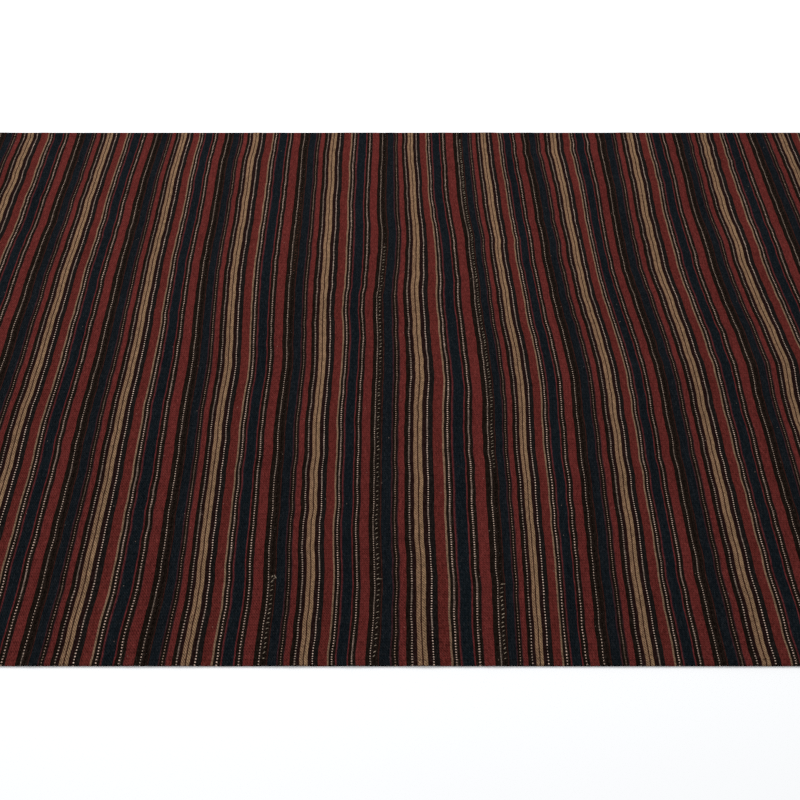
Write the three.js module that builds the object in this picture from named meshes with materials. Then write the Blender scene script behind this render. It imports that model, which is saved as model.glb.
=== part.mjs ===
// A flat-woven kilim: twelve narrow striped strips, sewn edge to edge and laid out on the ground.
// Millimetres, +X across the strips, +Y along their stripes, +Z up.
// The origin is on the ground under the middle of the cloth.
import * as THREE from "three";

// Length from hem to hem, and the thickness of the weave.
const LENGTH = 1525;
const CLOTH = 2.2;

// Each end is turned under once: the width of the turning, the slope beside it, and its extra height.
const HEM_TURN = 13;
const HEM_SLOPE = 5;
const HEM_RISE = 1.5;

// Room between two strips at a seam, and the spacing of the crosswise rows of corners.
const SEAM_GAP = 0.3;
const ROW_STEP = 24;

// The strips from left to right: their widths to the left and right of the pale double stripe.
const STRIPS = [
  { left: 72, right: 130 },
  { left: 71, right: 142 },
  { left: 75, right: 133 },
  { left: 69, right: 136.5 },
  { left: 70, right: 137.5 },
  { left: 73, right: 128 },
  { left: 82.5, right: 146 },
  { left: 63, right: 119.5 },
  { left: 73.5, right: 122.5 },
  { left: 73.5, right: 130 },
  { left: 69, right: 141.5 },
  { left: 79, right: 132 },
];

// Where the cloth is pulled sideways in its own plane: the middle of each pull,
// how far it reaches across the strips and along them, and its shift towards +X.
const PULLS = [
  { x: 390, y: -70, across: 330, along: 330, shift: 16 },
  { x: 880, y: 0, across: 220, along: 180, shift: 10 },
  { x: 390, y: 733, across: 300, along: 420, shift: -12 },
  { x: 390, y: -780, across: 330, along: 330, shift: -10 },
  { x: -340, y: 260, across: 260, along: 300, shift: -9 },
  { x: 660, y: 280, across: 230, along: 200, shift: -11 },
  { x: -650, y: 780, across: 250, along: 300, shift: 10 },
  { x: 82, y: 200, across: 180, along: 330, shift: 6 },
  { x: 82, y: -500, across: 200, along: 300, shift: -4 },
  { x: -340, y: -115, across: 260, along: 140, shift: 4 },
  { x: -340, y: -590, across: 240, along: 250, shift: 5 },
  { x: -560, y: -760, across: 240, along: 200, shift: -5 },
  { x: -1235, y: 240, across: 280, along: 400, shift: 6 },
  { x: 1235, y: -260, across: 280, along: 380, shift: -7 },
  { x: 560, y: 300, across: 240, along: 330, shift: -5 },
  { x: 700, y: 490, across: 200, along: 120, shift: -6 },
  { x: 700, y: -110, across: 250, along: 190, shift: 7 },
  { x: 400, y: -310, across: 210, along: 220, shift: 5 },
  { x: -380, y: 560, across: 180, along: 260, shift: -5 },
  { x: -380, y: -380, across: 180, along: 250, shift: 4 },
  { x: 110, y: -100, across: 120, along: 130, shift: 5 },
  { x: 60, y: 350, across: 120, along: 110, shift: 4 },
  { x: 60, y: 160, across: 120, along: 90, shift: -4 },
  { x: -880, y: 620, across: 200, along: 300, shift: 7 },
  { x: 880, y: 740, across: 170, along: 120, shift: 5 },
  { x: -20, y: 690, across: 110, along: 340, shift: 12.5 },
  { x: -20, y: 340, across: 110, along: 250, shift: 9.5 },
  { x: 175, y: 520, across: 150, along: 240, shift: -12 },
  { x: 175, y: 740, across: 130, along: 200, shift: -9 },
  { x: 80, y: 480, across: 90, along: 220, shift: 7 },
  { x: 190, y: -330, across: 130, along: 330, shift: 4 },
  { x: 330, y: -500, across: 200, along: 250, shift: 3 },
  { x: -430, y: -560, across: 150, along: 160, shift: 4 },
  { x: 500, y: 560, across: 130, along: 260, shift: -4.5 },
  { x: 850, y: 470, across: 110, along: 120, shift: -4 },
  { x: -900, y: 400, across: 130, along: 150, shift: 4 },
  { x: 20, y: -760, across: 150, along: 110, shift: -5 },
  { x: 800, y: -250, across: 130, along: 180, shift: 4 },
  { x: -60, y: 20, across: 90, along: 130, shift: 4 },
  { x: -720, y: -100, across: 150, along: 450, shift: -3 },
  { x: -400, y: -270, across: 170, along: 220, shift: 2.5 },
  { x: 620, y: -270, across: 200, along: 180, shift: 2.5 },
];

// Low ripples, which lift the cloth off the ground along lines that run across the strips:
// the middle of each, its slant, its half-width, how far it reaches each way, and its height.
const RIPPLES = [
  { x: 560, y: 640, slant: -0.05, halfWidth: 60, reach: 640, height: 5 },
  { x: 640, y: 500, slant: -0.08, halfWidth: 60, reach: 560, height: 7 },
  { x: 420, y: 285, slant: -0.03, halfWidth: 65, reach: 520, height: 5 },
  { x: -620, y: 545, slant: 0.04, halfWidth: 65, reach: 560, height: 5 },
  { x: -20, y: 120, slant: 0.03, halfWidth: 60, reach: 420, height: 4 },
  { x: -760, y: 60, slant: -0.06, halfWidth: 70, reach: 420, height: 4 },
  { x: 700, y: -80, slant: 0.05, halfWidth: 60, reach: 460, height: 5 },
  { x: 180, y: -190, slant: 0.02, halfWidth: 55, reach: 400, height: 4 },
  { x: 400, y: -350, slant: 0.06, halfWidth: 60, reach: 520, height: 6 },
  { x: -300, y: -300, slant: -0.04, halfWidth: 60, reach: 420, height: 4 },
  { x: -560, y: -560, slant: 0.05, halfWidth: 65, reach: 480, height: 4 },
];

// Colour, roughness and metalness of the wool, seen from far enough for its stripes to blend.
const WOOL_COLOR = 0x422c27;
const WOOL_ROUGHNESS = 0.95;
const WOOL_METALNESS = 0;

// A smooth rise and fall, from 0 at -1 to 1 at 0 and back to 0 at 1.
function hump(place) {
  return Math.abs(place) < 1 ? 0.5 + 0.5 * Math.cos(Math.PI * place) : 0;
}

// How far the cloth is shifted towards +X at a place on the ground.
function sideShift(x, y) {
  let total = 0;
  for (const pull of PULLS) {
    total += pull.shift * hump((x - pull.x) / pull.across) * hump((y - pull.y) / pull.along);
  }
  return total;
}

// How high the ripples lift the underside at a place on the ground.
function liftOffGround(x, y) {
  let total = 0;
  for (const ripple of RIPPLES) {
    const crest = ripple.y + ripple.slant * (x - ripple.x);
    total += ripple.height * hump((y - crest) / ripple.halfWidth) * hump((x - ripple.x) / ripple.reach);
  }
  return total;
}

// Thickness at a distance from the nearer end: two layers in the hem, one in the field.
function thickness(fromEnd) {
  const intoSlope = THREE.MathUtils.clamp((fromEnd - HEM_TURN) / HEM_SLOPE, 0, 1);
  return CLOTH + HEM_RISE * (1 - intoSlope);
}

// The places along +Y of the rows of corners: close together at the hems, even between them.
function rowPlaces() {
  const end = LENGTH / 2;
  const field = end - HEM_TURN - HEM_SLOPE;
  const steps = Math.round((2 * field) / ROW_STEP);
  const rows = [-end, -end + HEM_TURN];
  for (let step = 0; step <= steps; step += 1) {
    rows.push(THREE.MathUtils.lerp(-field, field, step / steps));
  }
  rows.push(end - HEM_TURN, end);
  return rows;
}

// The corners of one strip: for each row, its left edge, pale stripe and right edge,
// each on the underside and then on the top.
function stripCorners(leftSeam, strip, rows) {
  const rightSeam = leftSeam + strip.left + strip.right;
  const columns = [
    { seam: leftSeam, inset: SEAM_GAP / 2 },
    { seam: leftSeam + strip.left, inset: 0 },
    { seam: rightSeam, inset: -SEAM_GAP / 2 },
  ];
  const corners = [];
  for (const y of rows) {
    const thick = thickness(LENGTH / 2 - Math.abs(y));
    for (const column of columns) {
      const x = column.seam + sideShift(column.seam, y) + column.inset;
      const z = liftOffGround(column.seam, y);
      corners.push(x, y, z);
      corners.push(x, y, z + thick);
    }
  }
  return corners;
}

// The triangles that close one strip: top and underside between its rows, both edges and both ends.
function stripTriangles(rowCount) {
  const columnCount = 3;
  const bottom = (row, column) => 2 * (row * columnCount + column);
  const top = (row, column) => bottom(row, column) + 1;
  const last = columnCount - 1;
  const triangles = [];
  const face = (a, b, c, d) => triangles.push(a, b, c, a, c, d);
  for (let row = 0; row + 1 < rowCount; row += 1) {
    for (let column = 0; column < last; column += 1) {
      face(top(row, column), top(row, column + 1), top(row + 1, column + 1), top(row + 1, column));
      face(bottom(row, column), bottom(row + 1, column), bottom(row + 1, column + 1), bottom(row, column + 1));
    }
    face(bottom(row, 0), top(row, 0), top(row + 1, 0), bottom(row + 1, 0));
    face(bottom(row, last), bottom(row + 1, last), top(row + 1, last), top(row, last));
  }
  const far = rowCount - 1;
  for (let column = 0; column < last; column += 1) {
    face(bottom(0, column), bottom(0, column + 1), top(0, column + 1), top(0, column));
    face(bottom(far, column), top(far, column), top(far, column + 1), bottom(far, column + 1));
  }
  return triangles;
}

// One strip of cloth between two seams.
function stripMesh(name, leftSeam, strip) {
  const rows = rowPlaces();
  const geometry = new THREE.BufferGeometry();
  geometry.setAttribute("position", new THREE.Float32BufferAttribute(stripCorners(leftSeam, strip, rows), 3));
  geometry.setIndex(stripTriangles(rows.length));
  geometry.computeVertexNormals();
  const wool = new THREE.MeshStandardMaterial({
    color: WOOL_COLOR,
    roughness: WOOL_ROUGHNESS,
    metalness: WOOL_METALNESS,
  });
  const mesh = new THREE.Mesh(geometry, wool);
  mesh.name = name;
  return mesh;
}

// All strips side by side, centred on the origin.
function kilim() {
  const width = STRIPS.reduce((sum, strip) => sum + strip.left + strip.right, 0);
  const group = new THREE.Group();
  let seam = -width / 2;
  STRIPS.forEach((strip, index) => {
    const name = `strip_${String(index + 1).padStart(2, "0")}`;
    group.add(stripMesh(name, seam, strip));
    seam += strip.left + strip.right;
  });
  return group;
}

export default kilim();
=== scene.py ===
"""Dresses a flat-woven kilim: twelve narrow striped strips, sewn edge to edge and laid out on the ground.

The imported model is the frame. Each strip's solid is replaced by a finer sheet of the same form, whose finish
weaves the stripes, the pick-up lines and the yarns. Sewing thread joins the strips and holds the turned ends.
Metres, +X across the strips, +Y along their stripes, +Z up. The origin is on the ground under the middle.
"""
import logging
import math
from collections.abc import Callable, Sequence
from dataclasses import dataclass, replace
from enum import Enum

import bpy
import numpy as np
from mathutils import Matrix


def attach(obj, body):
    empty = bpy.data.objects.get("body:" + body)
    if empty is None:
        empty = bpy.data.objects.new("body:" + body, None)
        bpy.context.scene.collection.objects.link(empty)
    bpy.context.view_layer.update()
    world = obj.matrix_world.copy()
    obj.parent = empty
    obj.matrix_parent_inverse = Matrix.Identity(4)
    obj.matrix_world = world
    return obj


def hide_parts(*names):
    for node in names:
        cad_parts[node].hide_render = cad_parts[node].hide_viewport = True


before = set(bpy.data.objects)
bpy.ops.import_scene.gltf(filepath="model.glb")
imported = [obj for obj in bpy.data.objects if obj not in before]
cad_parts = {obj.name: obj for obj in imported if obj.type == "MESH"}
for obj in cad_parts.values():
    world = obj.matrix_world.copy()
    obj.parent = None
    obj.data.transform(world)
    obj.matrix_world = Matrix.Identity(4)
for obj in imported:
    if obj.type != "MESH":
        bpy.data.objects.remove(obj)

log = logging.getLogger("kilim")

Color = tuple[float, float, float]
Point = tuple[float, float, float]
Array = np.ndarray

MM = 0.001
BODY = "root"
PALE_FLOOR = "floor"

# The UV maps of a strip: one that the weave is drawn on, and one that spreads every face over a square.
WEAVE_MAP = "Weave"
SPREAD_MAP = "OFBake"


def from_screen(red: float, green: float, blue: float) -> Color:
    """Turns a colour as a screen shows it into the linear light that shaders use.

    Args:
        red: Red, 0 to 255.
        green: Green, 0 to 255.
        blue: Blue, 0 to 255.

    Returns:
        The linear colour, each part 0 to 1.
    """
    parts = (part / 255 for part in (red, green, blue))
    low, knee, offset, power = 0.04045, 12.92, 0.055, 2.4
    return tuple(part / knee if part <= low else ((part + offset) / (1 + offset)) ** power for part in parts)


# Wires: node graphs written as formulas

def operator(operation: str, swapped: bool = False) -> "Callable[[Wire, Value], Wire]":
    """Makes the method of Wire for one of Python's operators.

    Args:
        operation: What the Math node does.
        swapped: Whether the wire is the second of the two values, as in 1 - mask.

    Returns:
        The method.
    """
    def join(wire: "Wire", other: "Value") -> "Wire":
        """Adds the Math node."""
        pair = (other, wire) if swapped else (wire, other)
        return wire.bench.math(operation, *pair)

    return join


class Wire:
    """One output of a node. Python's operators on it add Math nodes to its tree."""

    def __init__(self, bench: "Bench", socket: bpy.types.NodeSocket) -> None:
        """Holds the output socket and the bench that its tree is built on."""
        self.bench = bench
        self.socket = socket

    __add__, __radd__ = operator("ADD"), operator("ADD", swapped=True)
    __sub__, __rsub__ = operator("SUBTRACT"), operator("SUBTRACT", swapped=True)
    __mul__, __rmul__ = operator("MULTIPLY"), operator("MULTIPLY", swapped=True)
    __truediv__, __rtruediv__ = operator("DIVIDE"), operator("DIVIDE", swapped=True)
    __pow__, __rpow__ = operator("POWER"), operator("POWER", swapped=True)
    __gt__, __lt__ = operator("GREATER_THAN"), operator("LESS_THAN")

    def floor(self) -> "Wire":
        """The whole number at or below this value."""
        return self.bench.math("FLOOR", self)

    def cos(self) -> "Wire":
        """The cosine of this value in radians."""
        return self.bench.math("COSINE", self)

    def sin(self) -> "Wire":
        """The sine of this value in radians."""
        return self.bench.math("SINE", self)

    def within(self, low: float, high: float) -> "Wire":
        """1 where this value lies between two numbers, and else 0."""
        return (self > low) * (self < high)

    def rise(self, low: float, high: float) -> "Wire":
        """Climbs smoothly from 0 at the low value to 1 at the high one, and stays there."""
        sockets = {"Value": self, "From Min": low, "From Max": high}
        return self.bench.wire("ShaderNodeMapRange", {"interpolation_type": "SMOOTHSTEP"}, sockets)


Value = Wire | float


class Bench:
    """A node tree being built, for a shader or for geometry."""

    def __init__(self, tree: bpy.types.NodeTree) -> None:
        """Holds the tree that the nodes go into."""
        self.tree = tree

    def node(self, kind: str, settings: dict[str, object] | None = None,
             sockets: dict[str | int, object] | None = None) -> bpy.types.Node:
        """Adds a node of any type.

        Args:
            kind: The node's type.
            settings: Its settings, set before its sockets. A ramp takes its stops and its blend here.
            sockets: Values or wires for its inputs, by name or by place.

        Returns:
            The new node.
        """
        node = self.tree.nodes.new(kind)
        for name, value in (settings or {}).items():
            if name == "stops":
                self._set_stops(node.color_ramp, value)
            elif name == "blend":
                node.color_ramp.interpolation = value
            else:
                setattr(node, name, value)
        self.feed(node, sockets or {})
        return node

    def feed(self, node: bpy.types.Node, sockets: dict[str | int, object]) -> None:
        """Gives a node's inputs their values and wires.

        Args:
            node: The node.
            sockets: Values or wires for its inputs, by name or by place.
        """
        for name, value in sockets.items():
            if isinstance(value, Wire):
                self.tree.links.new(value.socket, node.inputs[name])
            else:
                node.inputs[name].default_value = value

    def wire(self, kind: str, settings: dict[str, object] | None = None,
             sockets: dict[str | int, object] | None = None, output: str | int = 0) -> Wire:
        """Adds a node as the method node does, and takes the output of a name or a place."""
        return Wire(self, self.node(kind, settings, sockets).outputs[output])

    def math(self, operation: str, *values: Value) -> Wire:
        """Adds a Math node with its inputs in order, and takes its result."""
        return self.wire("ShaderNodeMath", {"operation": operation}, dict(enumerate(values)))

    def vector(self, x: Value, y: Value, z: Value = 0.0) -> Wire:
        """Joins three values to a vector."""
        return self.wire("ShaderNodeCombineXYZ", None, {"X": x, "Y": y, "Z": z})

    def parts(self, vector: Wire) -> tuple[Wire, Wire, Wire]:
        """Splits a vector into its three values."""
        node = self.node("ShaderNodeSeparateXYZ", None, {"Vector": vector})
        return tuple(Wire(self, socket) for socket in node.outputs)

    def noise(self, x: Value, y: Value, z: Value, detail: float = 1.0) -> Wire:
        """A smooth random value, mostly within 0.3 of 0. Detail is the number of finer layers."""
        sockets = {"Vector": self.vector(x, y, z), "Scale": 1.0, "Detail": detail}
        return self.wire("ShaderNodeTexNoise", None, sockets) - 0.5

    def scatter(self, x: Value, y: Value, z: Value = 0.0) -> Wire:
        """A random value from 0 to 1, with a sudden change from place to place."""
        return self.wire("ShaderNodeTexWhiteNoise", None, {"Vector": self.vector(x, y, z)})

    def ramp(self, place: Wire, stops: Sequence[tuple[float, Color]], blend: str) -> Wire:
        """Reads a colour off a ramp, at a place from 0 to 1. The blend is the way from stop to stop."""
        return self.wire("ShaderNodeValToRGB", {"stops": stops, "blend": blend}, {"Fac": place})

    def mix(self, first: Wire | Color, second: Wire | Color, share: Value) -> Wire:
        """Mixes two colours. The share is the second one's."""
        sockets = {0: share, 6: self._opaque(first), 7: self._opaque(second)}
        return self.wire("ShaderNodeMix", {"data_type": "RGBA"}, sockets, 2)

    def dim(self, color: Wire, factor: Value) -> Wire:
        """Multiplies a colour by a value."""
        sockets = {"Vector": color, "Scale": factor}
        return self.wire("ShaderNodeVectorMath", {"operation": "SCALE"}, sockets)

    def bump(self, height: Wire, distance: float, strength: float) -> Wire:
        """Turns a height from 0 to 1 into the normal of a surface that is raised by a distance at most."""
        sockets = {"Strength": strength, "Distance": distance, "Height": height}
        return self.wire("ShaderNodeBump", None, sockets)

    @staticmethod
    def _opaque(color: Wire | Color) -> Wire | tuple[float, ...]:
        """Adds the fourth part that a colour socket wants."""
        return color if isinstance(color, Wire) else (*color, 1.0)

    @staticmethod
    def _set_stops(ramp: bpy.types.ColorRamp, stops: Sequence[tuple[float, Color]]) -> None:
        """Gives a colour ramp its stops.

        Args:
            ramp: The ramp.
            stops: Places and colours, in order.
        """
        while len(ramp.elements) < len(stops):
            ramp.elements.new(1.0)
        for element, (place, color) in zip(ramp.elements, stops):
            element.position = place
            element.color = (*color, 1.0)


def new_material(name: str) -> tuple[bpy.types.Material, Bench, bpy.types.Node]:
    """Starts a material with an empty Principled shader.

    Args:
        name: The material's name.

    Returns:
        The material, the bench for its nodes, and its shader.
    """
    material = bpy.data.materials.new(name)
    material.use_nodes = True
    bench = Bench(material.node_tree)
    return material, bench, material.node_tree.nodes["Principled BSDF"]


# Yarns and the plan of stripes

# How bright a white thing on the floor shows under the studio's lights. Dyes are divided by it.
STUDIO_BRIGHTNESS = 1.17


class Yarn(Enum):
    """The dyed yarns, each as a screen shows it by plain daylight, 0 to 255. One is no yarn but the grey of
    painted glints.
    """

    BROWN = (26, 19, 15)
    RUST = (51, 25, 22)
    BLACK = (22, 16, 12)
    UMBER = (23, 17, 13)
    MAROON = (28, 15, 14)
    INK = (22, 19, 18)
    NAVY = (16, 22, 26)
    DEEP_NAVY = (17, 22, 26)
    RED = (84, 34, 30)
    WARM_RED = (87, 35, 32)
    PINK_RED = (88, 36, 33)
    OXBLOOD = (85, 34, 34)
    PLUM = (51, 28, 31)
    PINK_TAN = (120, 93, 71)
    OLIVE_TAN = (124, 98, 74)
    STRAW = (115, 90, 71)
    DASHED = (41, 17, 14)
    IVORY = (186, 161, 146)
    OATMEAL = (184, 157, 141)
    FAWN = (166, 143, 128)
    SAND = (166, 144, 129)
    DIM_FAWN = (135, 110, 96)
    # The pale grey of fibres that catch the light, mixed in as painted glints; no dye.
    FIBRE_GLINT = (72, 64, 60)
    SEWING_PALE = (152, 137, 119)
    SEWING_DARK = (19, 14, 11)
    SEWING_RUSSET = (88, 58, 46)

    def light(self) -> Color:
        """The yarn's own colour, in linear light, once the studio's brightness is taken out."""
        return tuple(part / STUDIO_BRIGHTNESS for part in from_screen(*self.value))


@dataclass(frozen=True)
class Stripe:
    """A stripe of the warp: its yarn and how many warps it has. A picked one is a pick-up line of beads."""

    yarn: Yarn
    warps: int
    picked: bool = False


# One strip from its left selvedge to its right one, warp by warp.
WARP_PLAN = (
    Stripe(Yarn.BROWN, 6),
    Stripe(Yarn.RUST, 2),
    Stripe(Yarn.UMBER, 1),
    Stripe(Yarn.DEEP_NAVY, 19),
    Stripe(Yarn.PLUM, 2),
    Stripe(Yarn.BLACK, 5),
    Stripe(Yarn.DIM_FAWN, 3, picked=True),
    Stripe(Yarn.BLACK, 4),
    Stripe(Yarn.PLUM, 1),
    Stripe(Yarn.PINK_RED, 13),
    Stripe(Yarn.BLACK, 8),
    Stripe(Yarn.FAWN, 4, picked=True),
    Stripe(Yarn.MAROON, 6),
    Stripe(Yarn.RUST, 1),
    Stripe(Yarn.PINK_TAN, 8),
    Stripe(Yarn.DASHED, 2),
    Stripe(Yarn.OLIVE_TAN, 8),
    Stripe(Yarn.MAROON, 9),
    Stripe(Yarn.IVORY, 4, picked=True),
    Stripe(Yarn.INK, 9),
    Stripe(Yarn.RED, 20),
    Stripe(Yarn.STRAW, 4),
    Stripe(Yarn.UMBER, 5),
    Stripe(Yarn.OATMEAL, 4, picked=True),
    Stripe(Yarn.BLACK, 5),
    Stripe(Yarn.PLUM, 1),
    Stripe(Yarn.OXBLOOD, 1),
    Stripe(Yarn.PLUM, 2),
    Stripe(Yarn.NAVY, 22),
    Stripe(Yarn.OXBLOOD, 3),
    Stripe(Yarn.BLACK, 6),
    Stripe(Yarn.OATMEAL, 4, picked=True),
    Stripe(Yarn.BLACK, 5),
    Stripe(Yarn.PLUM, 1),
    Stripe(Yarn.WARM_RED, 21),
    Stripe(Yarn.BLACK, 10),
    Stripe(Yarn.SAND, 3, picked=True),
    Stripe(Yarn.BROWN, 7),
)
WARPS = sum(stripe.warps for stripe in WARP_PLAN)
WARP_WIDTH = 0.85 * MM
NOMINAL_WIDTH = WARPS * WARP_WIDTH


def warps_before(index: int) -> int:
    """The number of warps to the left of a stripe of the plan."""
    return sum(stripe.warps for stripe in WARP_PLAN[:index])


def place_of(yarn: Yarn) -> tuple[int, int]:
    """The first warp of a yarn's first stripe, and the warp after its last."""
    index = next(number for number, stripe in enumerate(WARP_PLAN) if stripe.yarn is yarn)
    return warps_before(index), warps_before(index + 1)


# Each strip's left and right widths meet at this place across, near the middle of the pale double stripe.
PALE_MIDDLE = 85 * WARP_WIDTH

# On the weave's map a strip's number is the whole part across it, and its selvedge lies this far in.
MAP_MARGIN = 0.1


# Finishes

@dataclass(frozen=True)
class WovenWool:
    """The warp-faced weave, drawn on the map that gives the strip and the places across and along it.

    Noises have their grain in millimetres, and each reads the strip's number at a scale of its own, so that
    no two strips are alike. The drift is in warps and the unevenness in wefts. The widest and closest wefts
    are shares of their usual number. Each pick-up line has as many warps to itself as the line room says.
    From the bar's light on, the numbers say how much each thing lightens, darkens or covers the dyes. The
    valley and crown, the glints and their grey, the hatching and the ribs are painted shade and highlight; the
    streaks, clouds and floats are the yarns' own uneven tone.
    """

    name: str = "wool_weave"
    weft_pitch: float = 2.4 * MM
    drift: float = 3.0
    unevenness: float = 2.6
    widest: float = 0.8
    closest: float = 1.08
    line_room: int = 20
    glint_length: float = 3.2 * MM
    lint_width: float = 1.2 * MM
    lint_length: float = 1.6 * MM
    lint_rarity: float = 0.99985
    bump: float = 0.4 * MM
    bar_light: float = 0.46
    valley: float = 0.72
    crown: float = 0.33
    glints: float = 0.65
    fibre_glint: float = 0.14
    lint: float = 0.5
    all_over: float = 1.14
    streaks: float = 0.5
    blue_streaks: float = 0.6
    clouds: float = 0.4
    hatching_slant: float = 0.45
    hatching: float = 0.24
    tan_hatching: float = 0.2
    uneven_hatching: float = 0.4
    ribs: float = 0.12
    floats: float = 0.5

    def build(self) -> bpy.types.Material:
        """Builds the finish.

        Returns:
            The material.
        """
        material, bench, shader = new_material(self.name)
        place = bench.wire("ShaderNodeUVMap", {"uv_map": WEAVE_MAP}, None)
        sideways, lengthwise, _ = bench.parts(place)
        strip = sideways.floor()
        across = (sideways - strip - MAP_MARGIN) / MM
        along = lengthwise / MM

        # Warps drift a little to and fro, and the wefts are beaten unevenly.
        drift = bench.noise(across / 14, along / 42, strip * 9.1, 2)
        warp = across / (WARP_WIDTH / MM) + drift * self.drift
        beat = bench.noise(across / 60, along / 55, strip * 4.3, 2)
        closeness = self.widest + bench.scatter(strip, 3.7) * (self.closest - self.widest)
        pick = along / (self.weft_pitch / MM) * closeness + beat * self.unevenness

        # Each warp is round across its width, and comes up at every other weft.
        number = warp.floor()
        inside = warp - number
        bow = 1 - (2 * inside - 1) ** 2
        up = 0.5 + 0.5 * ((pick + number) * math.pi).cos()
        row = (pick * math.pi).cos()

        picked, bead = self._pick_up(bench, warp, pick, along, strip)
        color = self._dye(bench, warp, row, picked, bead)
        tone_and_shade = self._tone_and_weave_shade(bench, across, along, strip, warp, pick)
        # Painted highlights: short glints where a warp's fibres catch the light lighten the dye and mix in a
        # pale grey.
        glint = bench.scatter(number, (along / (self.glint_length / MM)).floor(), strip * 2.9) ** 6.0
        # Painted shade and highlight of the round warps: darker in the valleys beside them, lighter on the
        # crown where a warp comes up.
        painted_warp_shade = self.valley + self.crown * bow * up
        color = bench.dim(color, tone_and_shade * painted_warp_shade * (0.93 + glint * self.glints))
        color = bench.mix(color, Yarn.FIBRE_GLINT.light(), glint * self.fibre_glint)
        color = self._lint(bench, color, across, along, strip, bow)

        relief = bow * (0.25 + 0.75 * up) * (1 - picked) + picked * (0.3 + 0.9 * bead) * (0.4 + 0.6 * bow)
        fibre = bench.noise(across * 1.4, along * 0.9, strip, 2)
        normal = bench.bump(relief + fibre * 0.5, self.bump, 0.8)
        roughness = 0.96 - 0.1 * bow * up + fibre * 0.08
        bench.feed(shader, {"Base Color": color, "Roughness": roughness, "Normal": normal,
                            "Specular IOR Level": 0.0})
        return material

    def _pick_up(self, bench: Bench, warp: Wire, pick: Wire, along: Wire, strip: Wire) -> tuple[Wire, Wire]:
        """Draws the lines in which light warps show as round beads between dark ones.

        Args:
            bench: The material's bench.
            warp: The place across, in warps.
            pick: The place along, in wefts.
            along: The place along, in millimetres.
            strip: The strip's number.

        Returns:
            1 inside such a line, and the light beads in it, from 0 to about 1.
        """
        # The ramp shows how near a picked stripe's middle each warp lies.
        black, white = (0.0, 0.0, 0.0), (1.0, 1.0, 1.0)
        stops = [(0.0, black)]
        for index, stripe in enumerate(WARP_PLAN):
            if stripe.picked:
                first = warps_before(index)
                stops += [(first / WARPS, black), ((first + stripe.warps / 2) / WARPS, white),
                          ((first + stripe.warps) / WARPS, black)]
        middle = bench.wire("ShaderNodeRGBToBW", None, {0: bench.ramp(warp / WARPS, stops, "LINEAR")})

        # Each bead has its own chance. Some stretches run together to a bar, more of them towards the far
        # end, and in others the beads sink between their dark warps.
        line = (warp / self.line_room).floor()
        count = (pick / 2 + 0.5).floor()
        chance = bench.scatter(count, line, strip)
        packed = along.rise(0.0, 600.0) * 0.12
        merged = (bench.noise(line * 5.7, along / 70, strip * 3.9, 1) + packed).rise(0.06, 0.18)
        hidden = bench.noise(line * 8.3, along / 30, strip * 6.1, 1).rise(0.16, 0.28)
        from_middle = (1 - middle) ** 1.6 * 1.2 + (0.5 - 0.5 * (pick * math.pi).cos()) * 1.75
        bead = 1 - (from_middle + hidden * 0.4 + (0.5 - chance) * 0.2).rise(0.5, 0.99)
        bar = self.bar_light * middle
        return middle > 0.02, (bead + (bar - bead) * merged) * (0.75 + 0.5 * chance)

    def _dye(self, bench: Bench, warp: Wire, row: Wire, picked: Wire, bead: Wire) -> Wire:
        """Gives every warp the colour of its stripe.

        Args:
            bench: The material's bench.
            warp: The place across, in warps.
            row: Swings from 1 to -1 and back with each pair of wefts.
            picked: 1 inside a pick-up line.
            bead: The light beads in it.

        Returns:
            The colour.
        """
        stops = [(warps_before(index) / WARPS, stripe.yarn.light()) for index, stripe in enumerate(WARP_PLAN)]
        half = len(stops) // 2
        border = warps_before(half)
        share = warp / WARPS
        left = bench.ramp(share, stops[:half], "CONSTANT")
        right = bench.ramp(share, stops[half:], "CONSTANT")
        color = bench.mix(left, right, warp > border)
        color = bench.mix(color, Yarn.BLACK.light(), picked * (1 - bead))
        first, last = place_of(Yarn.DASHED)
        gap = warp.within(first, last) * (1 - row.rise(-0.95, -0.3))
        return bench.mix(color, Yarn.OLIVE_TAN.light(), gap * 0.45)

    def _tone_and_weave_shade(self, bench: Bench, across: Wire, along: Wire, strip: Wire, warp: Wire, pick: Wire) -> Wire:
        """Works out how light or dark each spot is beside its dye: the yarns' own uneven tone in streaks, dye
        clouds, mottle and floats, and painted shade of the weft ribs and the slanting twill hatch.

        Args:
            bench: The material's bench.
            across: The place across, in millimetres.
            along: The place along, in millimetres.
            strip: The strip's number.
            warp: The place across, in warps.
            pick: The place along, in wefts.

        Returns:
            A factor around 1.
        """
        number = warp.floor()
        tan = warp.within(place_of(Yarn.PINK_TAN)[0], place_of(Yarn.OLIVE_TAN)[1])
        blue = warp.within(*place_of(Yarn.DEEP_NAVY)) + warp.within(*place_of(Yarn.NAVY))
        strength = self.streaks + self.blue_streaks * blue
        streak = bench.noise(number * 0.7, along / 90, strip * 5.3, 2) * strength
        vat = bench.noise(across / 70, along / 260, strip * 2.7, 2) * self.clouds
        mottle = bench.noise(across / 6, along / 11, strip * 3.3, 2) * self.clouds
        # Painted shade of the weave: each weft's rib and the slanting twill hatch are lighter on their crowns
        # and darker in their hollows.
        rib = (pick * math.pi).cos() * self.ribs
        depth = self.hatching + self.tan_hatching * tan
        depth = depth + self.uneven_hatching * bench.noise(across / 12, along / 40, strip * 1.7, 1)
        hatch = ((pick + across * self.hatching_slant) * math.pi).cos() * depth
        floats = (bench.scatter((number / 2).floor(), (pick / 2).floor(), strip) - 0.5) * self.floats
        return self.all_over * (1 + streak + vat + mottle + hatch + rib + floats)

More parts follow.
